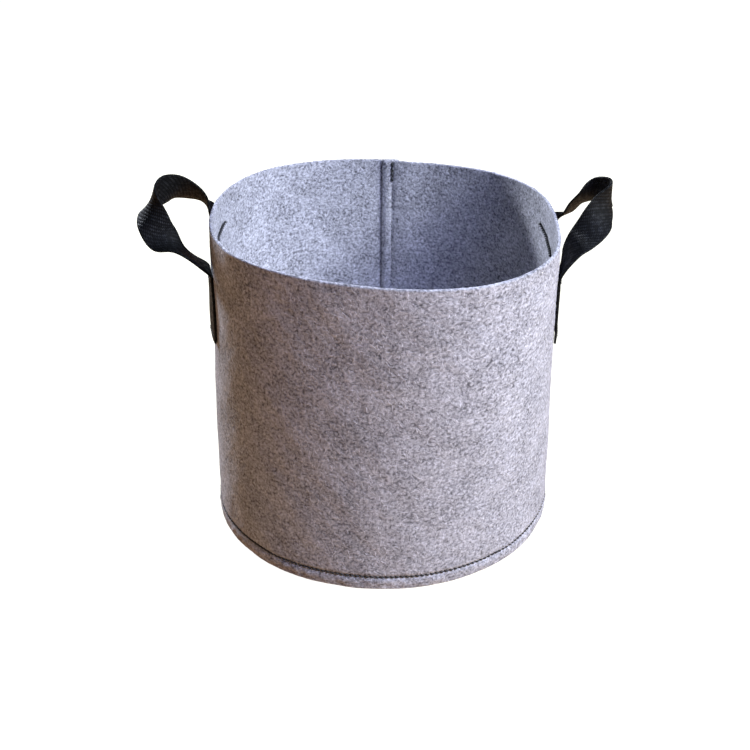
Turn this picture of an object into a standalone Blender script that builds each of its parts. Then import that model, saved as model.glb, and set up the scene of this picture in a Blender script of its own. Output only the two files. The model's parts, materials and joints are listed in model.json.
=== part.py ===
"""Fabric grow bag: a round felt pot with two webbing handles.

A felt panel is rolled into a wall and lapped at the back, a felt base is turned up inside it
and sewn through, and each handle is one webbing strap whose two ends are sewn to the wall with
two rows of stitches each. Every row has a needle thread outside and a bobbin thread inside.
Metres, +Z up, origin at the centre of the base's underside, handles at -X and +X.
"""

import math

import bmesh
import bpy
from mathutils import Vector

# felt pot
BAG_HEIGHT = 0.265
BASE_RADIUS = 0.148
RIM_RADIUS = 0.150
RIM_SHIFT = Vector((0.002, 0.003))
FELT = 0.003
GAP = 0.0003

# soft waves of the rim: turns of the wave, cosine size, sine size
RIM_WAVES = ((2, -0.004, -0.007), (3, -0.0015, 0.0015), (4, -0.004, 0.0025))

# back seam, as angles in degrees around the wall, +X is 0 and +Y is 90
LAP_OUTER_EDGE = 85.0
LAP_INNER_EDGE = 91.0
LAP_STEP = 6.0
WALL_SEGMENTS = 108

# base
BASE_FLANGE = 0.020
BASE_SEGMENTS = 180
LAP_MARGIN = 2.0

# handles
WEBBING_WIDTH = 0.027
WEBBING = 0.002
LEG_PITCH_HALF = 0.036
LEG_LOW_END = 0.092
HINGE_CLEARANCE = 0.0024
RIBBON_STEPS = 5

# sewing thread
THREAD = 0.0005
BASE_SEAM_HEIGHT = 0.012
SEAM_ANGLE = 87.2
SEAM_LOW_END = 0.022
SEAM_HIGH_END = 0.262
THREAD_SIDES = 6
ROW_WIDTH = 0.023
LOWER_ROW_DEPTH = 0.087

# depth below the rim where each leg ends and the loop hinges away from the wall
LEG_TOPS = {
    ("left", "front"): 0.0325,
    ("left", "back"): 0.010,
    ("right", "front"): 0.0345,
    ("right", "back"): 0.018,
}

# upper row of stitches on each leg: depth below the rim in its middle, and rise towards +Y
UPPER_ROWS = {
    ("left", "front"): (0.040, 0.0),
    ("left", "back"): (0.027, 0.16),
    ("right", "front"): (0.040, 0.0),
    ("right", "back"): (0.025, 0.24),
}

# how the free loop sets off from each leg: outward and upward
LOOP_STARTS = {
    ("left", "front"): (0.005, 0.003),
    ("left", "back"): (0.005, 0.006),
    ("right", "front"): (0.002, 0.006),
    ("right", "back"): (0.005, 0.005),
}

# each free loop, in millimetres: a point of its middle line, with Z counted from the rim, and
# the direction across the strap towards the edge that lies on the inner side of the loop
LOOP_ROUTES = {
    "left": (
        ((-151, -35, -25), (0.15, 0.92, -0.35)),
        ((-162, -30, -17.5), (0.25, 0.93, -0.25)),
        ((-174.5, -25, -8.5), (0.75, 0.42, 0.49)),
        ((-182, -20, 2.5), (0.89, 0.2, 0.41)),
        ((-187, -11, 11), (0.76, -0.3, 0.57)),
        ((-185, -1, 16.5), (0.3, -0.43, 0.85)),
        ((-180, 9, 18.5), (0.14, -0.17, 0.98)),
        ((-174, 17, 17.5), (0.42, -0.1, 0.9)),
        ((-165.5, 26, 12), (0.6, -0.5, 0.6)),
        ((-156, 33, 3), (0.25, -0.87, 0.43)),
    ),
    "right": (
        ((149.5, -33.5, -19), (-0.3, 0.93, -0.1)),
        ((157.5, -28, -9.5), (-0.61, 0.77, 0.2)),
        ((168, -21, 0.5), (-0.75, 0.45, 0.48)),
        ((178, -11, 9), (-0.45, 0.1, 0.85)),
        ((184.5, 1, 15.5), (-0.1, -0.46, 0.88)),
        ((178, 10, 18), (-0.13, -0.07, 0.98)),
        ((169.5, 18, 12), (-0.7, -0.5, 0.5)),
        ((161.5, 27, 3), (-0.5, -0.8, 0.3)),
        ((155, 33, -7.5), (-0.2, -0.95, 0.25)),
    ),
}

# colour, roughness
FELT_GREY = ((0.26, 0.25, 0.28), 0.95)
WEBBING_BLACK = ((0.012, 0.012, 0.013), 0.7)
THREAD_BLACK = ((0.01, 0.01, 0.012), 0.5)


def clear_scene():
    for item in list(bpy.data.objects):
        bpy.data.objects.remove(item, do_unlink=True)


def make_material(name, colour, roughness):
    material = bpy.data.materials.new(name)
    material.use_nodes = True
    shader = material.node_tree.nodes["Principled BSDF"]
    shader.inputs["Base Color"].default_value = (*colour, 1.0)
    shader.inputs["Roughness"].default_value = roughness
    shader.inputs["Metallic"].default_value = 0.0
    return material


def add_object(name, build, finish):
    """Turn a finished bmesh into a named object with its own material."""
    bmesh.ops.recalc_face_normals(build, faces=build.faces[:])
    mesh = bpy.data.meshes.new(name)
    build.to_mesh(mesh)
    build.free()
    mesh.shade_smooth()
    mesh.set_sharp_from_angle(angle=math.radians(40))
    mesh.materials.append(make_material(name, *finish))
    item = bpy.data.objects.new(name, mesh)
    bpy.context.scene.collection.objects.link(item)
    return item


def smooth_step(value):
    value = min(max(value, 0.0), 1.0)
    return value * value * (3 - 2 * value)


def rim_radius(angle):
    radius = RIM_RADIUS
    for turns, cosine, sine in RIM_WAVES:
        radius += cosine * math.cos(turns * angle) + sine * math.sin(turns * angle)
    return radius


def wall_point(angle, height, outward=0.0):
    """A point on the wall's outer face, or outward of it, at an angle in radians."""
    share = height / BAG_HEIGHT
    radius = BASE_RADIUS + (rim_radius(angle) - BASE_RADIUS) * share + outward
    shift = RIM_SHIFT * share
    return Vector((shift.x + radius * math.cos(angle), shift.y + radius * math.sin(angle), height))


def lap_depth(degrees):
    """How far the panel's end has stepped in, under its own first layer, by this angle."""
    return (FELT + GAP) * smooth_step((degrees - (LAP_OUTER_EDGE - LAP_STEP)) / LAP_STEP)


def loft(build, rings, closed_path):
    """Join equal rings of points, in order, into a tube; cap both ends of an open path."""
    rows = [[build.verts.new(point) for point in ring] for ring in rings]
    count = len(rows[0])
    pairs = list(zip(rows, rows[1:]))
    if closed_path:
        pairs.append((rows[-1], rows[0]))
    for first, second in pairs:
        for index in range(count):
            after = (index + 1) % count
            build.faces.new((first[index], first[after], second[after], second[index]))
    if not closed_path:
        build.faces.new(rows[0])
        build.faces.new(rows[-1])


def make_side_wall():
    """The rolled panel: its end laps inside its start at the back."""
    build = bmesh.new()
    turn = 360 + LAP_INNER_EDGE - LAP_OUTER_EDGE
    rings = []
    for step in range(WALL_SEGMENTS + 1):
        travelled = turn * step / WALL_SEGMENTS
        degrees = LAP_OUTER_EDGE + travelled
        depth = lap_depth(degrees - 360)
        angle = math.radians(degrees)
        rings.append(
            (
                wall_point(angle, 0.0, -depth),
                wall_point(angle, BAG_HEIGHT, -depth),
                wall_point(angle, BAG_HEIGHT, -depth - FELT),
                wall_point(angle, 0.0, -depth - FELT),
            )
        )
    loft(build, rings, False)
    return add_object("side_wall", build, FELT_GREY)


def inner_depth(degrees):
    """Depth from the wall's outer face to the clear space inside it, round the lap with room."""
    turned = (degrees + 180) % 360 - 180
    leaving = 1 - smooth_step((turned - LAP_INNER_EDGE - LAP_MARGIN) / LAP_MARGIN)
    return FELT + GAP + lap_depth(turned + LAP_MARGIN) * leaving


def make_base():
    """The base: a felt disc whose edge is turned up inside the wall."""
    build = bmesh.new()
    profile = ((0.0, 0.0), (0.0, BASE_FLANGE), (FELT, BASE_FLANGE), (FELT, FELT))
    loops = []
    for inward, height in profile:
        ring = []
        for step in range(BASE_SEGMENTS):
            degrees = 360 * step / BASE_SEGMENTS
            point = wall_point(math.radians(degrees), height, -inner_depth(degrees) - inward)
            ring.append(build.verts.new(point))
        loops.append(ring)
    for first, second in zip(loops, loops[1:]):
        for index in range(BASE_SEGMENTS):
            after = (index + 1) % BASE_SEGMENTS
            build.faces.new((first[index], first[after], second[after], second[index]))
    build.faces.new(loops[0])
    build.faces.new(loops[-1])
    bmesh.ops.triangulate(build, faces=[face for face in build.faces if len(face.verts) > 4])
    return add_object("base_disc", build, FELT_GREY)


def make_thread(name, path, closed_path):
    """A run of thread: a thin tube along a path of (point, outward direction)."""
    build = bmesh.new()
    rings = []
    for index, (point, outward) in enumerate(path):
        before = path[index - 1][0] if index or closed_path else point
        after = path[(index + 1) % len(path)][0] if index + 1 < len(path) or closed_path else point
        along = (after - before).normalized()
        across = along.cross(outward).normalized()
        ring = []
        for side in range(THREAD_SIDES):
            turn = math.tau * side / THREAD_SIDES
            ring.append(point + THREAD * (math.cos(turn) * outward + math.sin(turn) * across))
        rings.append(ring)
    loft(build, rings, closed_path)
    return add_object(name, build, THREAD_BLACK)


def radial(angle):
    return Vector((math.cos(angle), math.sin(angle), 0.0))


def make_base_seam():
    """The needle thread outside and the bobbin thread inside, around the foot of the wall."""
    clear = GAP + THREAD
    outside = []
    inside = []
    for step in range(BASE_SEGMENTS):
        degrees = 360 * step / BASE_SEGMENTS
        angle = math.radians(degrees)
        outside.append((wall_point(angle, BASE_SEAM_HEIGHT, clear), radial(angle)))
        depth = inner_depth(degrees) + FELT + clear
        inside.append((wall_point(angle, BASE_SEAM_HEIGHT, -depth), radial(angle)))
    make_thread("base_seam_needle_thread", outside, True)
    make_thread("base_seam_bobbin_thread", inside, True)


def make_back_seam():
    """The needle thread outside and the bobbin thread inside, down the lapped back seam."""
    angle = math.radians(SEAM_ANGLE)
    clear = GAP + THREAD
    depth = FELT + FELT + GAP + clear
    outside = []
    inside = []
    for step in range(7):
        height = SEAM_LOW_END + (SEAM_HIGH_END - SEAM_LOW_END) * step / 6
        outside.append((wall_point(angle, height, clear), radial(angle)))
        inside.append((wall_point(angle, height, -depth), radial(angle)))
    make_thread("back_seam_needle_thread", outside, False)
    make_thread("back_seam_bobbin_thread", inside, False)


def leg_angle(side, end):
    """The angle of a leg's middle line, found from its distance to the handle's middle."""
    target = -LEG_PITCH_HALF if end == "front" else LEG_PITCH_HALF
    low, high = -0.7, 0.7
    for _ in range(40):
        middle = (low + high) / 2
        angle = middle if side == "right" else math.pi - middle
        if wall_point(angle, BAG_HEIGHT - LEG_LOW_END).y < target:
            low = middle
        else:
            high = middle
    return middle if side == "right" else math.pi - middle


def leg_point(side, end, across, height, outward):
    """A point on a leg: across is measured along the wall, outward from its outer face."""
    angle = leg_angle(side, end)
    radius = (wall_point(angle, height) - Vector((0, 0, height))).length
    return wall_point(angle + across / radius, height, outward)


def make_leg(side, end):
    """One sewn end of a strap, flat against the wall."""
    build = bmesh.new()
    low = BAG_HEIGHT - LEG_LOW_END
    high = BAG_HEIGHT - LEG_TOPS[side, end]
    rings = []
    for step in range(9):
        across = WEBBING_WIDTH * (step / 8 - 0.5)
        near, far = GAP, GAP + WEBBING
        rings.append(
            (
                leg_point(side, end, across, low, near),
                leg_point(side, end, across, high, near),
                leg_point(side, end, across, high, far),
                leg_point(side, end, across, low, far),
            )
        )
    loft(build, rings, False)
    return add_object(f"{side}_handle_{end}_leg", build, WEBBING_BLACK)


def make_stitch_row(side, end, row):
    """One row across a leg: needle thread on the webbing, bobbin thread on the felt inside."""
    depth, slope = UPPER_ROWS[side, end] if row == "upper" else (LOWER_ROW_DEPTH, 0.0)
    outside = []
    inside = []
    for step in range(9):
        across = ROW_WIDTH * (step / 8 - 0.5)
        level = leg_point(side, end, across, BAG_HEIGHT - depth, 0.0)
        centre = leg_point(side, end, 0.0, BAG_HEIGHT - depth, 0.0)
        height = level.z + slope * (level.y - centre.y)
        outward = radial(leg_angle(side, end) + across / RIM_RADIUS)
        clear = GAP + WEBBING + GAP + THREAD
        outside.append((leg_point(side, end, across, height, clear), outward))
        inside.append((leg_point(side, end, across, height, -FELT - GAP - THREAD), outward))
    make_thread(f"{side}_handle_{end}_{row}_needle_thread", outside, False)
    make_thread(f"{side}_handle_{end}_{row}_bobbin_thread", inside, False)


def hinge_point(side, end):
    """The place just outside a leg's top where the free loop folds away from the wall."""
    height = BAG_HEIGHT - LEG_TOPS[side, end]
    outward = GAP + WEBBING + HINGE_CLEARANCE
    return leg_point(side, end, 0.0, height, outward)


def curve_point(before, start, end, after, share):
    """Catmull-Rom curve between start and end."""
    return (
        2 * start
        + (end - before) * share
        + (2 * before - 5 * start + 4 * end - after) * share**2
        + (3 * start - before - 3 * end + after) * share**3
    ) / 2


def loop_end(side, end):
    """The hinge of one end of a loop and the point it sets off to, with the width direction."""
    centre = hinge_point(side, end)
    along = leg_point(side, end, 0.001, centre.z, 0) - leg_point(side, end, 0, centre.z, 0)
    away = Vector((along.y, -along.x, 0)).normalized()
    hinge_line = hinge_point(side, "back") - hinge_point(side, "front")
    inner = (hinge_line - away * hinge_line.dot(away)).normalized()
    if end == "back":
        inner = -inner
    outward, upward = LOOP_STARTS[side, end]
    start = centre + outward * away + Vector((0, 0, upward))
    return [(centre, inner), (start, inner)]


def loop_stations(side):
    """Middle points and width directions of a loop, from its front hinge to its back one."""
    middle = []
    for (x, y, z), across in LOOP_ROUTES[side]:
        place = Vector((x / 1000, y / 1000, BAG_HEIGHT + z / 1000))
        middle.append((place, Vector(across).normalized()))
    return loop_end(side, "front") + middle + loop_end(side, "back")[::-1]


def beyond(first, second):
    """A station past the first one, in line with the second."""
    return (2 * first[0] - second[0], first[1])


def make_loop(side):
    """The free loop of a strap: a flat ribbon that turns and twists along its route."""
    stations = loop_stations(side)
    guides = [beyond(*stations[:2])] + stations + [beyond(*stations[:-3:-1])]
    samples = []
    for index in range(len(stations) - 1):
        window = guides[index : index + 4]
        for step in range(RIBBON_STEPS):
            share = step / RIBBON_STEPS
            centre = curve_point(*(item[0] for item in window), share)
            across = curve_point(*(item[1] for item in window), share)
            samples.append((centre, across))
    samples.append(stations[-1])
    build = bmesh.new()
    rings = []
    for index, (centre, across) in enumerate(samples):
        before = samples[max(0, index - 1)][0]
        after = samples[min(len(samples) - 1, index + 1)][0]
        along = (after - before).normalized()
        across = (across - along * across.dot(along)).normalized()
        normal = along.cross(across)
        half, thick = WEBBING_WIDTH / 2, WEBBING / 2
        rings.append(
            [
                centre + across * half * a + normal * thick * b
                for a, b in ((-1, -1), (0, -1), (1, -1), (1, 1), (0, 1), (-1, 1))
            ]
        )
    loft(build, rings, False)
    bmesh.ops.recalc_face_normals(build, faces=build.faces[:])
    front, back = hinge_point(side, "front"), hinge_point(side, "back")
    origin = (front + back) / 2
    bmesh.ops.translate(build, verts=build.verts[:], vec=-origin)
    item = add_object(f"{side}_handle_loop", build, WEBBING_BLACK)
    item.location = origin
    return item


clear_scene()
make_side_wall()
make_base()
make_base_seam()
make_back_seam()
for handle_side in ("left", "right"):
    for leg_end in ("front", "back"):
        make_leg(handle_side, leg_end)
        make_stitch_row(handle_side, leg_end, "upper")
        make_stitch_row(handle_side, leg_end, "lower")
    make_loop(handle_side)
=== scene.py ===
"""Looks of a fabric grow bag: grey needle-punched felt, black thread and black webbing handles.

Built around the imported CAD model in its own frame: metres, +Z up, the bag standing on z = 0 with
its lapped seam at +Y and its handles at -X and +X.
"""

import json
import math

import bmesh
import bpy
import numpy as np
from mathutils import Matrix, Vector, noise


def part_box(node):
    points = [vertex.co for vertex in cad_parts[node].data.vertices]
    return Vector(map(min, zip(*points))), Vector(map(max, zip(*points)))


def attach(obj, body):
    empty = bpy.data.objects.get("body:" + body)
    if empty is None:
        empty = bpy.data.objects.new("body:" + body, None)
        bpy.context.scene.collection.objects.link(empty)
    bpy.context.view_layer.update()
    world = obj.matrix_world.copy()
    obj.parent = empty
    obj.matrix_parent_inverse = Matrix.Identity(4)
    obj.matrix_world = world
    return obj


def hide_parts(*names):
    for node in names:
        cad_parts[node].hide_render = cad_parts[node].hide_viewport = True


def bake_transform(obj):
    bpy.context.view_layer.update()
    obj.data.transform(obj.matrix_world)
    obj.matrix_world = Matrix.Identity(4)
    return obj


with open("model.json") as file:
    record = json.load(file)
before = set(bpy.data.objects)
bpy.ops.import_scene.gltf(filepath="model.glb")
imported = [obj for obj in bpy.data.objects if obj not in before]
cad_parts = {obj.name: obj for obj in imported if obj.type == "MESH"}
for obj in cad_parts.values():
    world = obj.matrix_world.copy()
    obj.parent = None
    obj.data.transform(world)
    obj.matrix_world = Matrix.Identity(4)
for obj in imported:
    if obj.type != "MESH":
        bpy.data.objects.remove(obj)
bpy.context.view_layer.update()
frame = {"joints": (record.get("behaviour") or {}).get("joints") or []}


# ---- Camera ----------------------------------------------------------------------------------
# A view from the front, a little above the rim, so that both handles and the inside show.

CAMERA_PITCH = math.radians(27.216)
CAMERA_DISTANCE = 1.0
CAMERA_AIM = Vector((0.00144, 0.00165, 0.1325))
CAMERA_SENSOR = 36
CAMERA_LENS = 55.12
CAMERA_SHIFT = (-0.01236, -0.02115)
CAMERA_CLIP = 0.05

camera = bpy.data.objects.new("camera", bpy.data.cameras.new("camera"))
bpy.context.scene.collection.objects.link(camera)
back_off = Vector((0, -math.cos(CAMERA_PITCH), math.sin(CAMERA_PITCH)))
camera.location = CAMERA_AIM + CAMERA_DISTANCE * back_off
camera.rotation_euler = (math.pi / 2 - CAMERA_PITCH, 0, 0)
camera.data.sensor_width = CAMERA_SENSOR
camera.data.lens = CAMERA_LENS
camera.data.shift_x, camera.data.shift_y = CAMERA_SHIFT
camera.data.clip_start = CAMERA_CLIP
bpy.context.scene.camera = camera


# ---- Felt wall -------------------------------------------------------------------------------
# One panel of 3 mm needle-punched felt, die cut and rolled round. Its end laps inside its start
# at the back, and its edges are left raw, so the rim shows the cut fibres.

BAG_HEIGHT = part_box("side_wall")[1].z
BASE_RADIUS = 0.148
RIM_RADIUS = 0.150
RIM_SHIFT = (0.002, 0.003)
# how far the rim is from round: turns, and the sizes of their cosine and sine
RIM_WAVES = ((2, -0.004, -0.007), (3, -0.0015, 0.0015), (4, -0.004, 0.0025))
FELT = 0.003
GAP = 0.0003
EDGE_ROUNDING = 0.0012

# the lap, in degrees round the bag: the panel's ends, the step of its end inwards, and the reach
# of the pressed edge, which is thinner than the felt by a share
LAP_START = 85.0
LAP_END = 451.0
LAP_STEP = 16.0
PRESS_REACH = 1.6
PRESSED = 0.6

# the two seams, and the ridge that the back seam draws the wall into
SEAM_ANGLE = 87.2
SEAM_LOW_END = 0.020
SEAM_HIGH_END = 0.2635
SEAM_RIDGE = 0.0036
SEAM_RIDGE_REACH = 0.030
BASE_SEAM_HEIGHT = 0.012

# the panel's points: columns round it, and rows from a height up to a height at a spacing
PANEL_COLUMNS = 760
PANEL_ROWS = (
    (0.0, 0.020, 0.0009),
    (0.020, 0.1985, 0.0024),
    (0.2, BAG_HEIGHT - EDGE_ROUNDING, 0.0012),
)

# soft lumps that felt keeps from being rolled and packed: turns, waves per metre, phase, size
LUMPS = (
    (5, 6.0, 0.4, 0.00022),
    (9, -9.0, 2.1, 0.00018),
    (13, 14.0, 4.4, 0.00014),
    (22, -19.0, 1.3, 0.00009),
    (31, 27.0, 5.2, 0.00007),
)

# the nap and its pills, the frayed foot and the ragged cut: wavelength and size, which for the
# foot is a share of the spread; the ragged cut is drawn out upwards and weaker at the foot
NAP = (0.0032, 0.00016)
PILLS = (0.011, 0.00022)
FRAY = (0.007, 1.6)
RAGGED = (0.0021, 0.00042)
RAGGED_REACH = 0.003
RAGGED_STRETCH = np.array([1, 1, 0.15])
RAGGED_BELOW = 0.6

# how the raw edge under the foot seam spreads: size, and the middle and reach of the bulge
SPREAD = 0.0005
SPREAD_HEIGHT = 0.0062
SPREAD_REACH = 0.0042


def smooth(value):
    value = np.clip(value, 0.0, 1.0)
    return value * value * (3 - 2 * value)


def bell(distance, reach):
    return np.exp(-((distance / reach) ** 2))


def wall_point(degrees, height, outward=0.0):
    """Points on the wall's outer face, or outward of it, for arrays of angles and heights."""
    degrees, height, outward = np.broadcast_arrays(degrees, height, outward)
    angle = np.radians(degrees)
    share = height / BAG_HEIGHT
    rim = RIM_RADIUS
    for turns, cosine, sine in RIM_WAVES:
        rim = rim + cosine * np.cos(turns * angle) + sine * np.sin(turns * angle)
    radius = BASE_RADIUS + (rim - BASE_RADIUS) * share + outward
    from_seam = np.radians(degrees % 360 - SEAM_ANGLE) * BASE_RADIUS
    radius = radius + SEAM_RIDGE * np.exp(-np.abs(from_seam) / SEAM_RIDGE_REACH) * smooth(share * 3)
    for turns, waves, phase, size in LUMPS:
        radius = radius + size * np.sin(turns * angle + math.tau * waves * height + phase)
    x = RIM_SHIFT[0] * share + radius * np.cos(angle)
    y = RIM_SHIFT[1] * share + radius * np.sin(angle)
    return np.stack([x, y, height], -1)


def lap_depth(degrees):
    """How far the panel's end has stepped in under its own first layer by this angle."""
    return (FELT + GAP) * smooth((degrees - (LAP_START - LAP_STEP)) / LAP_STEP)


def grid_piece(name, points, texture, wrap_columns=False, wrap_rows=False):
    """A mesh from a grid of points; texture has one more column or row where the grid wraps."""
    columns, rows = points.shape[:2]
    first = np.arange(columns if wrap_columns else columns - 1)
    second = np.arange(rows if wrap_rows else rows - 1)
    i, j = (part.ravel() for part in np.meshgrid(first, second, indexing="ij"))
    after_i, after_j = (i + 1) % columns, (j + 1) % rows
    corners = ((i, j), (after_i, j), (after_i, after_j), (i, after_j))
    faces = np.stack([a * rows + b for a, b in corners], -1).tolist()
    uv = np.stack([texture[i, j], texture[i + 1, j], texture[i + 1, j + 1], texture[i, j + 1]], 1)
    uv = uv.reshape(-1, 2)
    if wrap_rows and not wrap_columns:
        faces.append(list(range(rows))[::-1])
        faces.append(list(range((columns - 1) * rows, columns * rows)))
        uv = np.concatenate([uv, texture[0, :rows][::-1], texture[-1, :rows]])
    mesh = bpy.data.meshes.new(name)
    mesh.from_pydata(points.reshape(-1, 3).tolist(), [], faces)
    layer = mesh.uv_layers.new(name="cloth")
    layer.data.foreach_set("uv", uv.astype(np.float32).ravel())
    return mesh


def finish_piece(name, mesh, material):
    """Point the faces outwards, shade them smooth and make the object."""
    build = bmesh.new()
    build.from_mesh(mesh)
    bmesh.ops.recalc_face_normals(build, faces=build.faces[:])
    build.to_mesh(mesh)
    build.free()
    mesh.shade_smooth()
    mesh.materials.append(material)
    piece = bpy.data.objects.new(name, mesh)
    bpy.context.scene.collection.objects.link(piece)
    return piece


def fuzz(points, wavelength, size):
    """A small random height for each point, for the nap of the felt."""
    flat = points.reshape(-1, 3) / wavelength
    values = [noise.noise(Vector(place)) for place in flat.tolist()]
    return size * np.array(values).reshape(points.shape[:-1])


def add_node(tree, kind, inputs=None, **settings):
    made = tree.nodes.new(kind)
    for key, value in settings.items():
        setattr(made, key, value)
    for key, value in (inputs or {}).items():
        if isinstance(value, bpy.types.NodeSocket):
            tree.links.new(value, made.inputs[key])
        else:
            made.inputs[key].default_value = value
    return made


def math_node(tree, operation, first, second=0.0):
    return add_node(tree, "ShaderNodeMath", {0: first, 1: second}, operation=operation).outputs[0]


def ramp(tree, value, low, high, out_low=0.0, out_high=1.0):
    inputs = {"Value": value, "From Min": low, "From Max": high}
    inputs.update({"To Min": out_low, "To Max": out_high})
    made = add_node(tree, "ShaderNodeMapRange", inputs, interpolation_type="SMOOTHSTEP")
    return made.outputs["Result"]


def new_group(name, inputs, outputs):
    group = bpy.data.node_groups.new(name, "ShaderNodeTree")
    for label, kind in inputs:
        group.interface.new_socket(name=label, in_out="INPUT", socket_type=kind)
    for label, kind in outputs:
        group.interface.new_socket(name=label, in_out="OUTPUT", socket_type=kind)
    return group, group.nodes.new("NodeGroupInput"), group.nodes.new("NodeGroupOutput")


def noise_node(tree, place, scale, detail, roughness=0.5):
    inputs = {"Vector": place, "Scale": scale, "Detail": detail, "Roughness": roughness}
    return add_node(tree, "ShaderNodeTexNoise", inputs).outputs["Fac"]


# fibres: length and width, the ways they lie, how far they bend, and the noise that shows them
FIBRE_SIZE = (0.0060, 0.00105, 1.0)
FIBRE_TURNS = (12, 44, 73, 101, 138, 166)
FIBRE_OFFSET = (0.37, 0.61)
FIBRE_BEND = 0.006
FIBRE_BENDS = 120.0
FIBRE_SHOWS = (0.58, 0.76)
PALE_FIBRES = 0.40
DARK_FIBRES = 0.35
FIBRE_HEIGHT = 0.8

# mottling: waves per metre of the grain, the clumps and the clouds, and their shares of the tone
GRAIN_SCALE = 430.0
GRAIN_ROUGHNESS = 0.55
GRAIN_SHARE = 0.50
CLUMP_SCALE = 190.0
CLUMP_SHARE = 0.26
CLOUD_SCALE = 32.0
CLOUD_SHARE = 0.22


def make_felt_group():
    """Needle-punched heather felt: mottled nap with pale and dark fibres lying every way."""
    group, given, result = new_group(
        "needle_felt",
        (
            ("Place", "NodeSocketVector"),
            ("Dark Wool", "NodeSocketColor"),
            ("Pale Wool", "NodeSocketColor"),
        ),
        (("Color", "NodeSocketColor"), ("Height", "NodeSocketFloat")),
    )
    place = given.outputs["Place"]
    bend = add_node(
        group, "ShaderNodeTexNoise", {"Vector": place, "Scale": FIBRE_BENDS, "Detail": 1.0}
    )
    shift = add_node(
        group, "ShaderNodeVectorMath", {0: bend.outputs["Color"], 1: (-0.5, -0.5, -0.5)}
    )
    scaled = {0: shift.outputs[0], "Scale": FIBRE_BEND}
    shift = add_node(group, "ShaderNodeVectorMath", scaled, operation="SCALE")
    bent = add_node(group, "ShaderNodeVectorMath", {0: place, 1: shift.outputs[0]}).outputs[0]
    layers = {}
    for index, degrees in enumerate(FIBRE_TURNS):
        turned = add_node(
            group,
            "ShaderNodeMapping",
            {
                "Vector": bent,
                "Location": (FIBRE_OFFSET[0] * index, FIBRE_OFFSET[1] * index, 0.0),
                "Rotation": (0, 0, math.radians(degrees)),
                "Scale": FIBRE_SIZE,
            },
            vector_type="TEXTURE",
        ).outputs[0]
        mask = ramp(group, noise_node(group, turned, 1.0, 1.0), *FIBRE_SHOWS)
        kind = "pale" if index % 2 == 0 else "dark"
        before = layers.get(kind)
        layers[kind] = mask if before is None else math_node(group, "MAXIMUM", before, mask)
    grain = noise_node(group, place, GRAIN_SCALE, 2.0, GRAIN_ROUGHNESS)
    clump = noise_node(group, place, CLUMP_SCALE, 2.0)
    cloud = noise_node(group, place, CLOUD_SCALE, 3.0)
    pale = math_node(group, "MULTIPLY", layers["pale"], PALE_FIBRES)
    dark = math_node(group, "MULTIPLY", layers["dark"], DARK_FIBRES)
    tone = math_node(group, "MULTIPLY", ramp(group, grain, 0.30, 0.70), GRAIN_SHARE)
    tone = math_node(group, "ADD", tone, ramp(group, clump, 0.25, 0.75, 0.0, CLUMP_SHARE))
    tone = math_node(group, "ADD", tone, ramp(group, cloud, 0.25, 0.75, 0.0, CLOUD_SHARE))
    tone = math_node(group, "ADD", tone, pale)
    tone = math_node(group, "SUBTRACT", tone, dark)
    mixed = add_node(
        group,
        "ShaderNodeMix",
        {"Factor": tone, 6: given.outputs["Dark Wool"], 7: given.outputs["Pale Wool"]},
        data_type="RGBA",
        clamp_factor=True,
    )
    group.links.new(mixed.outputs[2], result.inputs["Color"])
    raised = math_node(group, "MULTIPLY", layers["pale"], FIBRE_HEIGHT)
    height = math_node(group, "ADD", grain, raised)
    height = math_node(group, "ADD", height, clump)
    group.links.new(height, result.inputs["Height"])
    return group


felt_group = make_felt_group()

FELT_RELIEF = 0.0005


def make_felt(name, dark, pale):
    """A felt of two wools, dry and rough with a faint sheen."""
    material = bpy.data.materials.new(name)
    material.use_nodes = True
    tree = material.node_tree
    shader = tree.nodes["Principled BSDF"]
    shader.inputs["Roughness"].default_value = 0.93
    shader.inputs["Specular IOR Level"].default_value = 0.15
    shader.inputs["Sheen Weight"].default_value = 0.12
    shader.inputs["Sheen Roughness"].default_value = 0.6
    place = add_node(tree, "ShaderNodeUVMap", uv_map="cloth").outputs[0]
    fibres = add_node(tree, "ShaderNodeGroup", node_tree=felt_group)
    tree.links.new(place, fibres.inputs["Place"])
    fibres.inputs["Dark Wool"].default_value = (*dark, 1)
    fibres.inputs["Pale Wool"].default_value = (*pale, 1)
    relief = {"Height": fibres.outputs["Height"], "Distance": FELT_RELIEF, "Strength": 0.45}
    bump = add_node(tree, "ShaderNodeBump", relief)
    tree.links.new(bump.outputs[0], shader.inputs["Normal"])
    tree.links.new(fibres.outputs["Color"], shader.inputs["Base Color"])
    return material


wall_felt = make_felt("grey_felt", (0.085, 0.083, 0.093), (0.70, 0.695, 0.76))

# how deep the stitches pull the felt in: the groove along a row and the dimple at each hole
GROOVE = 0.0007
GROOVE_REACH = 0.0016
DIMPLE = 0.0005
DIMPLE_REACH = 0.0011
BASE_STITCH = 0.0041
SEAM_STITCH = 0.0047
ROW_STITCH = 0.0033
# how far from a row's end its pull has gone
ROW_FADE = 0.001


def stitch_pull(along, across, pitch):
    """Depth of the felt's surface at a place along and across a row of stitches."""
    holes = 0.5 + 0.5 * np.cos(math.tau * along / pitch)
    groove = GROOVE * bell(across, GROOVE_REACH)
    return groove + DIMPLE * holes * bell(across, DIMPLE_REACH)


def seam_pull(degrees, height):
    """Pull of the back seam on the panel, at angles counted without wrapping round."""
    across = np.radians(degrees - SEAM_ANGLE) * BASE_RADIUS
    inside = smooth((height - SEAM_LOW_END) / (2 * ROW_FADE))
    inside = inside * smooth((SEAM_HIGH_END - height) / ROW_FADE)
    return inside * stitch_pull(height - SEAM_HIGH_END, across, SEAM_STITCH)


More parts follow.
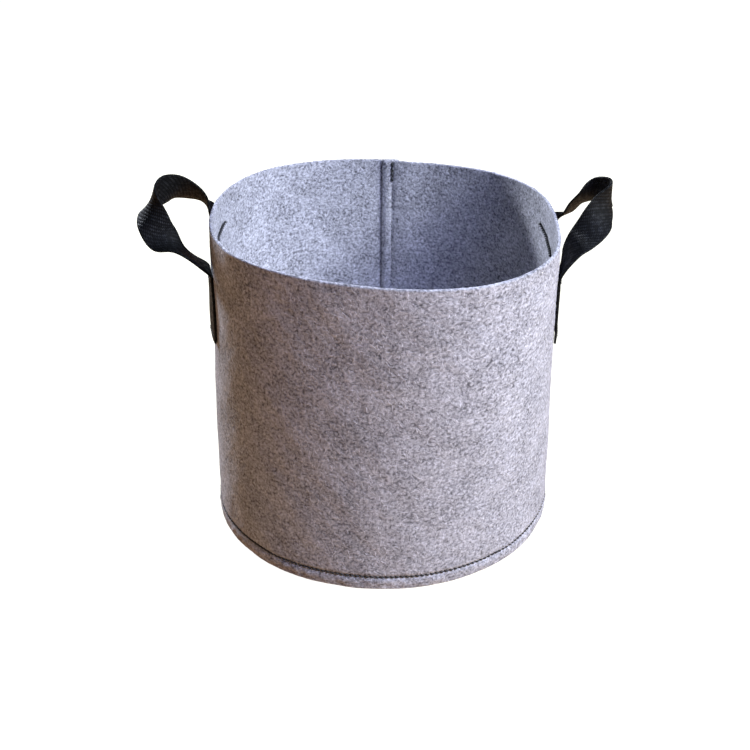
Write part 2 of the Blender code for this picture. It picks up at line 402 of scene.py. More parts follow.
def base_seam_pull(degrees, height):
    """Pull of the foot seam, whose stitches are counted from the panel's start."""
    along = np.radians(degrees - LAP_START) * BASE_RADIUS
    return stitch_pull(along, height - BASE_SEAM_HEIGHT, BASE_STITCH)


# the handles' sewn ends: distance of a leg from its handle's middle, depth of its low end under
# the rim, and the rows of stitches, the upper ones each at a depth and a slope towards the back
LEG_PITCH_HALF = 0.036
LEG_LOW_END = 0.092
ROW_WIDTH = 0.025
LOWER_ROW_DEPTH = 0.087
UPPER_ROWS = {
    ("left", "front"): (0.040, 0.0),
    ("left", "back"): (0.0265, 0.16),
    ("right", "front"): (0.040, 0.0),
    ("right", "back"): (0.0265, 0.22),
}


def towards_back(side):
    """The sense of turning that leads towards the back of the bag on this side."""
    return 1 if side == "right" else -1


def leg_degrees(side, end):
    """Angle of a leg's middle line, found from its distance to the handle's middle."""
    turns = np.linspace(-40, 40, 4001)
    degrees = turns if side == "right" else 180 - turns
    target = -LEG_PITCH_HALF if end == "front" else LEG_PITCH_HALF
    places = wall_point(degrees, BAG_HEIGHT - LEG_LOW_END)
    return float(degrees[np.argmin(np.abs(places[:, 1] - target))])


def row_height(side, end, row, across):
    """Height of a handle's row of stitches at a distance along the wall from its middle."""
    depth, slope = UPPER_ROWS[side, end] if row == "upper" else (LOWER_ROW_DEPTH, 0.0)
    return BAG_HEIGHT - depth + slope * towards_back(side) * across


HANDLE_ROWS = [
    (side, end, row)
    for side in ("left", "right")
    for end in ("front", "back")
    for row in ("upper", "lower")
]


def handle_pull(degrees, height):
    """Pull of all the handles' rows of stitches on the wall."""
    total = np.zeros(np.broadcast(degrees, height).shape)
    for side, end, row in HANDLE_ROWS:
        middle = leg_degrees(side, end)
        turn = (degrees - middle + 180) % 360 - 180
        along = np.radians(turn) * BASE_RADIUS
        inside = smooth((ROW_WIDTH / 2 + ROW_FADE - np.abs(along)) / ROW_FADE)
        across = height - row_height(side, end, row, along)
        total = total + inside * stitch_pull(along, across, ROW_STITCH)
    return total


def panel_profile():
    """The panel's cut section: depth from its outer face, height and distance travelled."""
    rise = np.concatenate([np.arange(*rows) for rows in PANEL_ROWS])
    rise = EDGE_ROUNDING + rise * (BAG_HEIGHT - 2 * EDGE_ROUNDING) / rise[-1]
    turn = np.radians(np.arange(15, 91, 15))
    inset = EDGE_ROUNDING * (1 - np.cos(turn))
    lift = EDGE_ROUNDING * np.sin(turn)
    depth = np.concatenate([inset[::-1], np.zeros(len(rise)), inset])
    height = np.concatenate([(EDGE_ROUNDING - lift)[::-1], rise, BAG_HEIGHT - EDGE_ROUNDING + lift])
    depth = np.concatenate([depth, FELT - depth[::-1]])
    height = np.concatenate([height, height[::-1]])
    steps = np.hypot(np.diff(depth, append=depth[0]), np.diff(height, append=height[0]))
    travelled = np.concatenate([[0.0], np.cumsum(steps)])
    return depth, height, travelled


def make_felt_wall():
    depth, height, travelled = panel_profile()
    degrees = np.linspace(LAP_START, LAP_END, PANEL_COLUMNS + 1)[:, None]
    outer = (depth < FELT / 2)[None, :]
    # the end of the panel is pressed thin where it is sewn down
    pressed = 1 - PRESSED * smooth((degrees - LAP_END + PRESS_REACH) / PRESS_REACH)
    outward = -depth[None, :] * pressed - lap_depth(degrees - 360)
    pull = base_seam_pull(degrees, height[None, :]) + handle_pull(degrees, height[None, :])
    pull = pull + np.where(outer, seam_pull(degrees, height), seam_pull(degrees - 360, height))
    spread = SPREAD * bell(height - SPREAD_HEIGHT, SPREAD_REACH)
    outward = outward + np.where(outer, spread[None, :] - pull, pull)
    points = wall_point(degrees, height[None, :], outward)
    # the whole numbers only take each kind of fuzz from another part of the noise
    nap = fuzz(points, *NAP) + fuzz(points + 5, *PILLS)
    frayed = spread[None, :] * fuzz(points + 7, *FRAY)
    points = wall_point(degrees, height[None, :], outward + np.where(outer, nap + frayed, -nap))
    top = smooth((height - (BAG_HEIGHT - RAGGED_REACH)) / RAGGED_REACH)[None, :]
    bottom = smooth((RAGGED_REACH - height) / RAGGED_REACH)[None, :]
    ragged = fuzz(points * RAGGED_STRETCH + 9, *RAGGED)
    points[..., 2] += top * ragged + bottom * np.abs(ragged) * RAGGED_BELOW
    around = np.radians(degrees) * BASE_RADIUS
    texture = np.stack(np.broadcast_arrays(around, travelled[None, :]), -1)
    mesh = grid_piece("felt_wall", points, texture, wrap_rows=True)
    piece = finish_piece("felt_wall", mesh, wall_felt)
    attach(piece, "bag")
    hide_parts("side_wall")


make_felt_wall()


# ---- Felt base -------------------------------------------------------------------------------
# A disc of the same felt, pressed up at its edge so that it sits inside the foot of the wall,
# where one row of stitches goes through both.

BASE_FLANGE = 0.020
BASE_FOLD = 0.0035
BASE_COLUMNS = 540
# the rings of points on the disc: the first and last one's distance in from the wall, and count
BASE_RINGS = (0.006, 0.1445, 64)
BASE_REACH = 0.1465
FLANGE_STEP = 0.001
# degrees past the lap's end in which the turned-up edge comes out to the wall again
LAP_MARGIN = 2.0

# the disc's slow waves and its nap: wavelength and size
SAG = (0.034, 0.0006)
BASE_NAP = (0.004, 0.00018)

base_felt = make_felt("base_felt", (0.081, 0.079, 0.089), (0.67, 0.665, 0.73))


def base_depth(degrees):
    """Depth from the wall's outer face to the base's turned-up edge, stepping round the lap."""
    turned = (degrees + 180) % 360 - 180
    leaving = 1 - smooth((turned - (LAP_END - 360) - LAP_MARGIN) / LAP_MARGIN)
    return FELT + GAP + lap_depth(turned + LAP_MARGIN) * leaving


def base_profile():
    """The base's section, from the middle below round the turned-up edge to the middle above.

    Gives the points' depths in from the edge's outer face, their heights, and whether each is on
    the side that faces the inside of the bag.
    """
    flange = np.arange(BASE_FOLD, BASE_FLANGE - FLANGE_STEP, FLANGE_STEP)
    inward = np.linspace(*BASE_RINGS)
    turn = np.radians(np.arange(0, 91, 18))
    rows = [(distance, 0.0) for distance in inward[::-1]]
    for angle in turn[::-1][:-1]:
        rows.append((BASE_FOLD * (1 - math.cos(angle)), BASE_FOLD * (1 - math.sin(angle))))
    rows += [(0.0, height) for height in flange]
    rows += [
        (0.0006, BASE_FLANGE - 0.0003),
        (FELT / 2, BASE_FLANGE),
        (FELT - 0.0006, BASE_FLANGE - 0.0003),
    ]
    rows += [(FELT, height) for height in flange[::-1] if height > FELT + 0.0015]
    rows += [(FELT + 0.0004, FELT + 0.0009), (FELT + 0.0013, FELT + 0.0002)]
    rows += [(distance, FELT) for distance in inward]
    depth, height = np.array(rows).T
    top = np.arange(len(rows)) > len(inward) + len(turn) + len(flange)
    return depth[None, :], height[None, :], top[None, :]


def close_middles(mesh, columns, rows):
    """Close the small round holes that the grid leaves in the middle of the base's two faces."""
    build = bmesh.new()
    build.from_mesh(mesh)
    build.verts.ensure_lookup_table()
    for row in (0, rows - 1):
        build.faces.new([build.verts[column * rows + row] for column in range(columns)])
    build.to_mesh(mesh)
    build.free()


def make_felt_base():
    depth, height, top = base_profile()
    degrees = np.arange(BASE_COLUMNS)[:, None] * 360 / BASE_COLUMNS
    # the seam pulls the turned-up edge in; the wall's shape fades away towards the middle
    edge = base_seam_pull(degrees, height) * smooth((0.02 - depth) / 0.01) * (height > 0.004)
    outward = -base_depth(degrees) * smooth((0.14 - depth) / 0.12) - depth + np.where(top, edge, 0)
    points = wall_point(degrees, height, np.maximum(outward, -BASE_REACH))
    sag = fuzz(points, *SAG) + fuzz(points + 3, *BASE_NAP)
    points[..., 2] += np.where(depth > 0.004, 1.0, 0.0) * top * np.abs(sag)
    texture = np.zeros((BASE_COLUMNS + 1, depth.size, 2))
    wrapped = np.concatenate([points, points[:1]])
    texture[..., 0] = wrapped[..., 0] * (1 + height * 4) + 2.0 * top
    texture[..., 1] = wrapped[..., 1] * (1 + height * 4)
    mesh = grid_piece("felt_base", points, texture, wrap_columns=True)
    close_middles(mesh, BASE_COLUMNS, depth.size)
    piece = finish_piece("felt_base", mesh, base_felt)
    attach(piece, "bag")
    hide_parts("base_disc")


make_felt_base()


# ---- Foot seam -------------------------------------------------------------------------------
# A lockstitch in black bonded polyester round the foot: the needle thread lies outside and the
# bobbin thread inside, and both are pulled into the felt at every hole.

THREAD = 0.0005
THREAD_SIDES = 8
THREAD_TWIST = 0.0011
THREAD_RELIEF = 0.0002

# a stitch: points along it, its height over the cloth and depth in it, its arch and slant, and
# how high the middle of the thread rides on the cloth's face
STITCH_SAMPLES = 10
STITCH_RISE = 0.00025
STITCH_SINK = 0.0011
STITCH_ARCH = 0.7
STITCH_SLANT = 0.00035
STITCH_BED = 0.3 * THREAD

FOOT_BOLD = 1.5
FOOT_SINK = 0.0019


def make_thread_material():
    """Two-ply twisted thread: the plies show as a fine slant along it, with painted shade in the
    grooves between them.
    """
    group, given, result = new_group(
        "twisted_plies",
        (("Place", "NodeSocketVector"),),
        (("Shade", "NodeSocketFloat"), ("Height", "NodeSocketFloat")),
    )
    parts = add_node(group, "ShaderNodeSeparateXYZ", {0: given.outputs["Place"]})
    along = math_node(group, "MULTIPLY", parts.outputs[0], 1 / THREAD_TWIST)
    twist = math_node(group, "ADD", along, parts.outputs[1])
    wave = math_node(group, "SINE", math_node(group, "MULTIPLY", twist, math.tau))
    height = ramp(group, wave, -1.0, 1.0)
    group.links.new(height, result.inputs["Height"])
    # painted shade: the colour is darker where the plies dip and lighter on their crests
    group.links.new(ramp(group, wave, -1.0, 0.6), result.inputs["Shade"])
    material = bpy.data.materials.new("black_thread")
    material.use_nodes = True
    tree = material.node_tree
    shader = tree.nodes["Principled BSDF"]
    shader.inputs["Roughness"].default_value = 0.55
    shader.inputs["Sheen Weight"].default_value = 0.05
    place = add_node(tree, "ShaderNodeUVMap", uv_map="cloth").outputs[0]
    plies = add_node(tree, "ShaderNodeGroup", node_tree=group)
    tree.links.new(place, plies.inputs[0])
    colour = add_node(
        tree,
        "ShaderNodeMix",
        {"Factor": plies.outputs["Shade"], 6: (0.004, 0.004, 0.005, 1), 7: (0.02, 0.02, 0.023, 1)},
        data_type="RGBA",
    )
    tree.links.new(colour.outputs[2], shader.inputs["Base Color"])
    relief = {"Height": plies.outputs["Height"], "Distance": THREAD_RELIEF}
    bump = add_node(tree, "ShaderNodeBump", relief)
    tree.links.new(bump.outputs[0], shader.inputs["Normal"])
    return material


black_thread = make_thread_material()


def make_stitches(
    name, along_row, length, pitch, closed=False, rise=STITCH_RISE, sink=STITCH_SINK, bold=np.ones_like
):
    """A thread that surfaces for each stitch and dives at each hole.

    along_row takes distances along the row and a height over the cloth, and gives the points;
    bold takes the distances and gives the thread's thickness against a plain thread's.
    """
    count = max(1, round(length / pitch))
    samples = count * STITCH_SAMPLES
    travelled = np.linspace(0, length, samples + (0 if closed else 1), endpoint=not closed)
    phase = travelled / length * count % 1.0
    lift = -sink + (rise + sink) * np.abs(np.sin(math.pi * phase)) ** STITCH_ARCH
    slant = STITCH_SLANT * np.sin(math.tau * phase)
    centre = along_row(travelled, lift, slant)
    lifted = along_row(travelled, lift + 0.001, slant) - centre
    outward = lifted / np.linalg.norm(lifted, axis=1, keepdims=True)
    if closed:
        ahead = np.roll(centre, -1, 0) - np.roll(centre, 1, 0)
    else:
        ahead = np.gradient(centre, axis=0)
    ahead /= np.linalg.norm(ahead, axis=1, keepdims=True)
    sideways = np.cross(ahead, outward)
    sideways /= np.linalg.norm(sideways, axis=1, keepdims=True)
    upward = np.cross(sideways, ahead)
    turn = math.tau * np.arange(THREAD_SIDES) / THREAD_SIDES
    ring = np.cos(turn)[None, :, None] * upward[:, None]
    ring = ring + np.sin(turn)[None, :, None] * sideways[:, None]
    thick = THREAD * bold(travelled)
    points = centre[:, None] + thick[:, None, None] * ring
    columns = samples + 1
    texture = np.zeros((columns, THREAD_SIDES + 1, 2))
    texture[..., 0] = np.linspace(0, length, columns)[:, None]
    texture[..., 1] = np.linspace(0, 1, THREAD_SIDES + 1)[None, :]
    stitches = f"{name}_stitches"
    mesh = grid_piece(stitches, points, texture, wrap_columns=closed, wrap_rows=True)
    piece = finish_piece(stitches, mesh, black_thread)
    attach(piece, "bag")
    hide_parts(name)


def make_foot_seam():
    def outside(travelled, lift, slant):
        degrees = LAP_START + np.degrees(travelled / BASE_RADIUS)
        outward = lift + STITCH_BED - GROOVE - lap_depth(degrees - 360)
        return wall_point(degrees, BASE_SEAM_HEIGHT + slant, outward)

    def inside(travelled, lift, slant):
        degrees = LAP_START + np.degrees(travelled / BASE_RADIUS)
        depth = base_depth(degrees) + FELT - GROOVE
        return wall_point(degrees, BASE_SEAM_HEIGHT + slant, -depth - lift - STITCH_BED)

    def heavy(travelled):
        return FOOT_BOLD * np.ones_like(travelled)

    row = {"length": math.tau * BASE_RADIUS, "pitch": BASE_STITCH, "closed": True}
    make_stitches("base_seam_needle_thread", outside, sink=FOOT_SINK, bold=heavy, **row)
    make_stitches("base_seam_bobbin_thread", inside, **row)


make_foot_seam()


# ---- Back seam -------------------------------------------------------------------------------
# One straight row down the lap. The first stitches at the rim are back-tacked, so they stand
# proud of the felt, and the rest are pulled down into it.

TACK_STITCHES = 4
TACK_LENGTH = TACK_STITCHES * SEAM_STITCH
TACK_END = 0.001
# how proud the tacked thread stands, on the outside and on the inside
TACK_RISE = 0.0003
TACK_CREST = 0.0012
# the lift at which the inner crest begins and how much lift it takes, so that the holes dip
CREST_FROM = -0.0007
CREST_OVER = 0.0005
SEAM_BED = 0.0002
SEAM_BOLD = 0.75
TACK_BOLD = 1.2


def make_back_seam():
    length = SEAM_HIGH_END - SEAM_LOW_END

    def tacked(travelled):
        return smooth((TACK_LENGTH - travelled) / TACK_END)

    def outside(travelled, lift, slant):
        degrees = SEAM_ANGLE + np.degrees(slant / BASE_RADIUS)
        outward = lift + STITCH_BED - GROOVE + TACK_RISE * tacked(travelled)
        return wall_point(degrees, SEAM_HIGH_END - travelled, outward)

    def inside(travelled, lift, slant):
        degrees = SEAM_ANGLE + np.degrees(slant / BASE_RADIUS)
        crest = 2 * smooth((lift - CREST_FROM) / CREST_OVER) - 1
        depth = 2 * FELT + GAP - GROOVE + lift - SEAM_BED + TACK_CREST * crest * tacked(travelled)
        return wall_point(degrees, SEAM_HIGH_END - travelled, -depth)

    def heavy(travelled):
        return SEAM_BOLD + TACK_BOLD * tacked(travelled)

    make_stitches("back_seam_needle_thread", outside, length, SEAM_STITCH, bold=heavy)
    make_stitches("back_seam_bobbin_thread", inside, length, SEAM_STITCH, rise=0.0, bold=heavy)


make_back_seam()


# ---- Webbing handles -------------------------------------------------------------------------
# Each handle is one length of black polypropylene webbing. Its ends lie flat against the wall
# and the loop between them stands up, twisted a little by the way it was sewn on.

WEBBING_WIDTH = 0.027
WEBBING = 0.0019
WEBBING_ROUNDING = 0.0008
STRAP_STEP = 0.0006
ACROSS_STEPS = 26

# the weave: width of a rib, length of a yarn's float, and its relief
RIB = 0.0013
FLOAT = 0.0036
WEAVE_RELIEF = 0.0005
# the selvedge bulges where each pick turns back, and the face between is slightly ridged
PICK = 0.0014
SELVEDGE = 0.002
SELVEDGE_BULGE = 0.00016
RIDGE_SPACING = 0.0027
RIDGE = 0.00005

# how far a strap's face stands off the wall, how much more where it leaves it, and how far it
# bends above and below its hinge
STRAP_BED = 0.0002
STRAP_LEAVES = 0.001

# depth under the rim at which each leg leaves the wall
LEG_TOPS = {
    ("left", "front"): 0.0345,
    ("left", "back"): 0.012,
    ("right", "front"): 0.0360,
    ("right", "back"): 0.020,
}

# each loop, in millimetres: a point of its middle line, with Z counted from the rim, and the
# direction across the strap towards the edge that lies on the inner side of the loop
LOOP_ROUTES = {
    "left": (
        ((-151, -35, -23.5), (0.15, 0.92, -0.35)),
        ((-163.5, -30, -17.5), (0.25, 0.93, -0.25)),
        ((-177, -25, -8.5), (0.74, 0.48, 0.43)),
        ((-183.5, -20, 2), (0.89, 0.2, 0.41)),
        ((-187.5, -11, 10.5), (0.76, -0.3, 0.57)),
        ((-186, -1, 16.5), (0.3, -0.43, 0.85)),
        ((-180, 9, 18.5), (0.14, -0.17, 0.98)),
        ((-173, 17, 17.5), (0.42, -0.1, 0.9)),
        ((-164, 26, 12.5), (0.68, -0.42, 0.6)),
        ((-154, 33.5, 3), (0.4, -0.8, 0.43)),
    ),
    "right": (
        ((150, -33.5, -20), (-0.3, 0.93, -0.1)),
        ((159, -28, -10.5), (-0.61, 0.77, 0.2)),
        ((169.5, -21, -0.5), (-0.75, 0.45, 0.48)),
        ((176.8, -11, 8.5), (-0.45, 0.1, 0.85)),
        ((185, 1, 18.5), (-0.1, -0.46, 0.88)),
        ((179, 10, 16.5), (-0.13, -0.07, 0.98)),
        ((170.3, 18, 9.3), (-0.58, -0.66, 0.48)),
        ((162.3, 27, 0.4), (-0.42, -0.86, 0.3)),
        ((155, 33, -10), (-0.17, -0.9, 0.4)),
    ),
}


def make_webbing_material():
    """Black webbing: ribs of slanting yarns, each with its own small sheen, painted lighter into its
    colour in patches.
    """
    group, given, result = new_group(
        "webbing_weave",
        (
            ("Place", "NodeSocketVector"),
            ("Yarn", "NodeSocketFloat"),
            ("Pick", "NodeSocketFloat"),
        ),
        (("Yarns", "NodeSocketFloat"), ("Sheen Patches", "NodeSocketFloat")),
    )
    parts = add_node(group, "ShaderNodeSeparateXYZ", {0: given.outputs["Place"]})
    across = math_node(group, "DIVIDE", parts.outputs[1], given.outputs["Yarn"])
    along = math_node(group, "DIVIDE", parts.outputs[0], given.outputs["Pick"])
    column = math_node(group, "FLOOR", across)
    stepped = math_node(group, "ADD", along, math_node(group, "MULTIPLY", column, 0.34))
    over = math_node(group, "PINGPONG", stepped, 0.5)
    crown = math_node(group, "PINGPONG", across, 0.5)
    yarn = math_node(group, "MULTIPLY", ramp(group, over, 0.04, 0.4), ramp(group, crown, 0.0, 0.3))
    group.links.new(yarn, result.inputs["Yarns"])
    # noise patches where the yarns get a painted sheen and the webbing is less rough
    sheen_noise = noise_node(group, given.outputs["Place"], 240.0, 3.0)
    group.links.new(ramp(group, sheen_noise, 0.35, 0.7), result.inputs["Sheen Patches"])
    material = bpy.data.materials.new("black_webbing")
    material.use_nodes = True
    tree = material.node_tree
    shader = tree.nodes["Principled BSDF"]
    shader.inputs["Specular IOR Level"].default_value = 0.13
    place = add_node(tree, "ShaderNodeUVMap", uv_map="cloth").outputs[0]
    weave = add_node(tree, "ShaderNodeGroup", node_tree=group)
    tree.links.new(place, weave.inputs["Place"])
    weave.inputs["Yarn"].default_value = RIB
    weave.inputs["Pick"].default_value = FLOAT
    # painted sheen: the yarns' crowns are lighter in colour within the sheen patches
    sheen_share = ramp(tree, weave.outputs["Sheen Patches"], 0.0, 1.0, 0.1, 1.0)
    lit = math_node(tree, "MULTIPLY", weave.outputs["Yarns"], sheen_share)
    colour = add_node(
        tree,
        "ShaderNodeMix",
        {"Factor": lit, 6: (0.0015, 0.0018, 0.002, 1), 7: (0.018, 0.0195, 0.021, 1)},
        data_type="RGBA",
    )
    tree.links.new(colour.outputs[2], shader.inputs["Base Color"])
    rough = ramp(tree, weave.outputs["Sheen Patches"], 0.0, 1.0, 0.68, 0.48)
    tree.links.new(rough, shader.inputs["Roughness"])
    relief = {"Height": weave.outputs["Yarns"], "Distance": WEAVE_RELIEF, "Strength": 0.5}
    bump = add_node(tree, "ShaderNodeBump", relief)
    tree.links.new(bump.outputs[0], shader.inputs["Normal"])
    return material


black_webbing = make_webbing_material()


def curve_points(stations, counts):
    """Catmull-Rom through rows of numbers, with a count of steps for each gap."""
    rows = np.array(stations, float)
    rows = np.concatenate([[2 * rows[0] - rows[1]], rows, [2 * rows[-1] - rows[-2]]])
    made = []
    for index, count in enumerate(counts):
        before, start, end, after = rows[index : index + 4]
        share = (np.arange(count) / count)[:, None]
        made.append(
            start
            + 0.5 * (end - before) * share
            + 0.5 * (2 * before - 5 * start + 4 * end - after) * share**2
            + 0.5 * (3 * start - before - 3 * end + after) * share**3
        )
    return np.concatenate([*made, rows[-2:-1]])


def towards_middle(side, end):
    """The sense of turning that leads from a leg towards its handle's middle."""
    return towards_back(side) * (1 if end == "front" else -1)


def leg_station(side, end, height, outward, hug):
    """A point on a leg's middle line, the direction to its inner edge, and its hug."""
    degrees = leg_degrees(side, end)
    centre = wall_point(degrees, height, outward)
    along = wall_point(degrees + 0.2, height, outward) - wall_point(degrees - 0.2, height, outward)
    across = towards_middle(side, end) * along / np.linalg.norm(along)
    return [*centre, *across, hug]


def leg_stations(side, end):
    top = BAG_HEIGHT - LEG_TOPS[side, end]
    low = BAG_HEIGHT - LEG_LOW_END
    lies = GAP + WEBBING / 2 + STRAP_BED
    made = []
    for share in (0.0, 0.25, 0.5, 0.75, 0.93):
        made.append(leg_station(side, end, low + (top - low) * share, lies, 1.0))
    made.append(leg_station(side, end, top + 0.002, lies + STRAP_LEAVES, 0.6))
    return made


def strap_stations(side):
    """Middle points, directions across, and how closely the strap hugs the wall there."""
    rows = leg_stations(side, "front")
    for (x, y, z), across in LOOP_ROUTES[side]:
        across = Vector(across).normalized()
        rows.append([x / 1000, y / 1000, BAG_HEIGHT + z / 1000, *across, 0.0])
    return rows + leg_stations(side, "back")[::-1]


def strap_section(travelled):
    """The strap's cut section, across it and through it, for each distance along it."""
    half, thick = WEBBING_WIDTH / 2, WEBBING / 2
    flat = np.linspace(-1, 1, ACROSS_STEPS + 1) * (half - WEBBING_ROUNDING)
    turn = np.radians([60, 20, -20, -60])
    edge_out = half - WEBBING_ROUNDING + WEBBING_ROUNDING * np.cos(turn)
    edge_up = thick * np.sin(turn)
    across = np.concatenate([flat, edge_out, flat[::-1], -edge_out[::-1]])
    through = np.concatenate([flat * 0 + thick, edge_up, flat * 0 - thick, edge_up[::-1]])
    edge = smooth((np.abs(across) - (half - SELVEDGE)) / SELVEDGE)[None, :]
    bulge = SELVEDGE_BULGE * np.sin(math.tau * travelled / PICK)[:, None] * edge
    ridge = RIDGE * np.sin(math.tau * across / RIDGE_SPACING)[None, :] * (1 - edge)
    around = np.concatenate([across, across[:1]])
    across = across[None, :] + np.sign(across)[None, :] * bulge
    through = through[None, :] + np.sign(through)[None, :] * ridge
    return across, through, around


def on_wall(side, end, centre, normal, across, through):
    """The strap's surface where it follows the wall's own round."""
    degrees = leg_degrees(side, end)
    radial = np.array([math.cos(math.radians(degrees)), math.sin(math.radians(degrees)), 0.0])
    own = wall_point(degrees, centre[:, 2])
    outward = np.sign(normal @ radial)[:, None]
    radius = np.hypot(*own[:, :2].T)[:, None]
    turned = degrees + towards_middle(side, end) * np.degrees(across / radius)
    stands = np.sum((centre - own) * radial, 1)[:, None]
    return wall_point(turned, centre[:, 2][:, None], stands + outward * through)


def make_strap(side):
    rows = strap_stations(side)
    gaps = [np.linalg.norm(np.subtract(b[:3], a[:3])) for a, b in zip(rows, rows[1:])]
    samples = curve_points(rows, [max(2, round(gap / STRAP_STEP)) for gap in gaps])
    centre, sideways, hug = samples[:, :3], samples[:, 3:6], np.clip(samples[:, 6], 0, 1)
    ahead = np.gradient(centre, axis=0)
    ahead /= np.linalg.norm(ahead, axis=1, keepdims=True)
    sideways = sideways - ahead * np.sum(sideways * ahead, 1, keepdims=True)
    sideways /= np.linalg.norm(sideways, axis=1, keepdims=True)
    normal = np.cross(ahead, sideways)
    steps = np.linalg.norm(np.diff(centre, axis=0), axis=1)
    travelled = np.concatenate([[0], np.cumsum(steps)])
    across, through, around = strap_section(travelled)
    points = centre[:, None] + across[..., None] * sideways[:, None]
    points = points + through[..., None] * normal[:, None]
    in_front = travelled < travelled[-1] / 2
    for end, part in (("front", in_front), ("back", ~in_front)):
        wrapped = on_wall(side, end, centre, normal, across, through)
        weight = (hug * part)[:, None, None]
        points = points * (1 - weight) + wrapped * weight
    texture = np.zeros((len(points), len(around), 2))
    texture[..., 0] = travelled[:, None]
    texture[..., 1] = around[None, :] + 0.5
    mesh = grid_piece(f"{side}_handle_strap", points, texture, wrap_rows=True)
    piece = finish_piece(f"{side}_handle_strap", mesh, black_webbing)
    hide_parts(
        f"{side}_handle_front_leg", f"{side}_handle_back_leg", f"{side}_handle_loop"
    )
    joint = next(item for item in frame["joints"] if item["child"] == f"{side}_handle")
    hinge, axis = Vector(joint["pos_m"]), Vector(joint["axis"]).normalized()
    # a direction outwards and up from the hinge, square to its axis, which nothing here uses
    away = Vector((-0.85 if side == "left" else 0.85, 0, 0.53))
    away = (away - axis * away.dot(axis)).normalized()
    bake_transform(piece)


for handle_side in ("left", "right"):
    make_strap(handle_side)


# ---- Handle stitching ------------------------------------------------------------------------
# Two rows of black thread across each end of a strap. The needle thread crosses the webbing
# outside, and the bobbin thread shows as a short dark line on the felt inside.

# the upper back rows' bobbin threads run on past their straps: how far towards the front of the
# bag and towards its back, and how they stand up and thicken there
TAILS = {
    ("left", "back", "upper"): (0.005, 0.004),
    ("right", "back", "upper"): (0.027, 0.0),
}
TAIL_RISE = 0.0017
TAIL_BOLD = 1.2
TAIL_FADE = 0.004
ROW_SINK = 0.0008
ROW_BOLD = 1.6
# how the threads lie on the webbing outside and on the felt inside
WEBBING_BED = 0.0002 + 0.2 * THREAD
FELT_BED = 0.0001


def make_handle_row(side, end, row):
    middle = leg_degrees(side, end)
    before, beyond = TAILS.get((side, end, row), (0.0, 0.0))

    def place(travelled, outward, slant):
        across = towards_back(side) * (travelled - ROW_WIDTH / 2)
        degrees = middle + np.degrees(across / BASE_RADIUS)
        return wall_point(degrees, row_height(side, end, row, across) + slant, outward)

    def outside(travelled, lift, slant):
        return place(travelled, GAP + WEBBING + WEBBING_BED + lift, slant)

    def inside(travelled, lift, slant):
        return place(travelled - before, GROOVE - FELT - FELT_BED - lift, slant)

    def heavy(travelled):
        return ROW_BOLD + TAIL_BOLD * smooth((before - travelled) / TAIL_FADE)

    stem = f"{side}_handle_{end}_{row}"
    make_stitches(f"{stem}_needle_thread", outside, ROW_WIDTH, ROW_STITCH, sink=ROW_SINK)
    length = ROW_WIDTH + before + beyond
    rise = TAIL_RISE if before else STITCH_RISE
    make_stitches(f"{stem}_bobbin_thread", inside, length, ROW_STITCH, rise=rise, bold=heavy)


for handle_row in HANDLE_ROWS:
    make_handle_row(*handle_row)


# ---- Studio ----------------------------------------------------------------------------------
# A plain white floor, a large cool light from the right, a bluer one above it and a narrow one
# from behind on the left. The floor glows a weak warm light onto the bag in place of a bounce,
# and glows evenly white to the camera.

FLOOR_REACH = 12.0
FLOOR_DROP = 0.0004
FLOOR_PALE = (0.30, 0.285, 0.19, 1)
FLOOR_DARK = (0.28, 0.265, 0.17, 1)
# the floor's glow towards the bag: a warm light standing in for a bounce, not reflected light
FLOOR_BOUNCE = (0.32, 0.088, 0.0, 1)
WHITE = (1, 1, 1, 1)
WORLD_LIGHT = 0.02
LIGHTS_AIM = Vector((0, 0, 0.15))
LIGHTS_DISTANCE = 2.2
# name, azimuth from +X towards +Y, elevation, size in metres, colour and power in watts
LIGHTS = (
    ("key", -26, 35, 1.0, (0.915, 0.975, 1.0), 69),
    ("sky", -42, 52, 1.0, (0.42, 0.50, 1.0), 34),
    ("behind", 129, 27, 0.35, (0.82, 0.88, 1.0), 66),
)


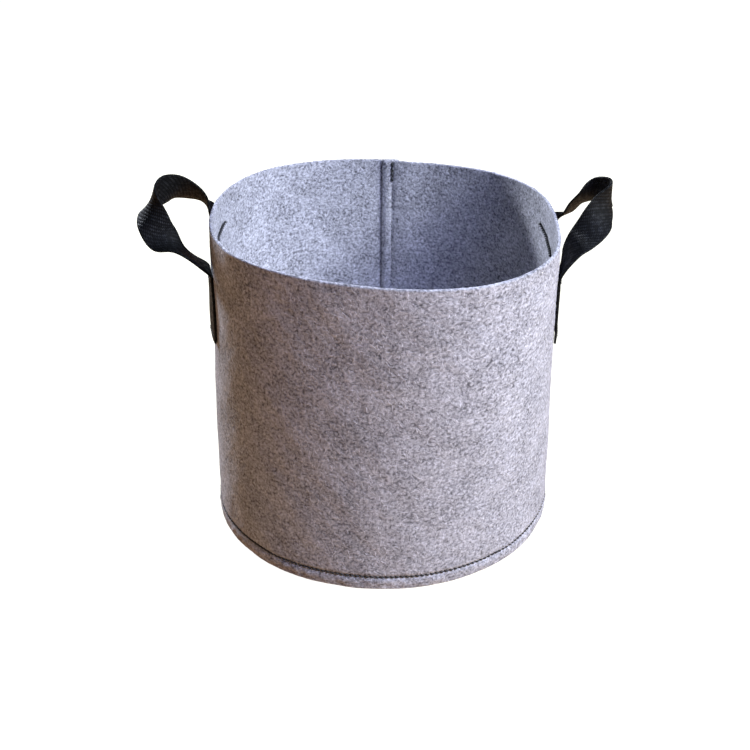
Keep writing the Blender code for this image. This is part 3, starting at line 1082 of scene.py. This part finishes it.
def make_floor():
    material = bpy.data.materials.new("pale_floor")
    material.use_nodes = True
    tree = material.node_tree
    shader = tree.nodes["Principled BSDF"]
    grain = add_node(tree, "ShaderNodeTexNoise", {"Scale": 3.0, "Detail": 2.0}).outputs["Fac"]
    colour = add_node(
        tree,
        "ShaderNodeMix",
        {"Factor": grain, 6: FLOOR_DARK, 7: FLOOR_PALE},
        data_type="RGBA",
    )
    tree.links.new(colour.outputs[2], shader.inputs["Base Color"])
    seen = add_node(tree, "ShaderNodeLightPath").outputs["Is Camera Ray"]
    glow = add_node(
        tree, "ShaderNodeMix", {"Factor": seen, 6: FLOOR_BOUNCE, 7: WHITE}, data_type="RGBA"
    )
    tree.links.new(glow.outputs[2], shader.inputs["Emission Color"])
    shader.inputs["Emission Strength"].default_value = 1.0
    shader.inputs["Roughness"].default_value = 0.9
    shader.inputs["Specular IOR Level"].default_value = 0.1
    mesh = bpy.data.meshes.new("floor")
    reach = FLOOR_REACH
    corners = [(-reach, -reach, 0), (reach, -reach, 0), (reach, reach, 0), (-reach, reach, 0)]
    mesh.from_pydata(corners, [], [(0, 1, 2, 3)])
    mesh.materials.append(material)
    floor = bpy.data.objects.new("floor", mesh)
    floor.location.z = -FLOOR_DROP
    bpy.context.scene.collection.objects.link(floor)


def add_light(name, azimuth, elevation, size, colour, power):
    """A square soft light aimed at the bag."""
    data = bpy.data.lights.new(name, "AREA")
    data.size = size
    data.color = colour
    data.energy = power
    light = bpy.data.objects.new(name, data)
    turn, lift = math.radians(azimuth), math.radians(elevation)
    flat = math.cos(lift)
    towards = Vector((math.cos(turn) * flat, math.sin(turn) * flat, math.sin(lift)))
    light.location = LIGHTS_AIM + LIGHTS_DISTANCE * towards
    light.rotation_euler = towards.to_track_quat("Z", "Y").to_euler()
    bpy.context.scene.collection.objects.link(light)


def make_world():
    """White where the camera sees it past the floor, and almost dark as a light."""
    world = bpy.data.worlds.new("studio")
    world.use_nodes = True
    background = world.node_tree.nodes["Background"]
    background.inputs["Color"].default_value = WHITE
    seen = add_node(world.node_tree, "ShaderNodeLightPath").outputs["Is Camera Ray"]
    strength = math_node(world.node_tree, "MAXIMUM", seen, WORLD_LIGHT)
    world.node_tree.links.new(strength, background.inputs["Strength"])
    bpy.context.scene.world = world


make_floor()
for light_settings in LIGHTS:
    add_light(*light_settings)
make_world()
bpy.context.scene.view_settings.view_transform = "Standard"
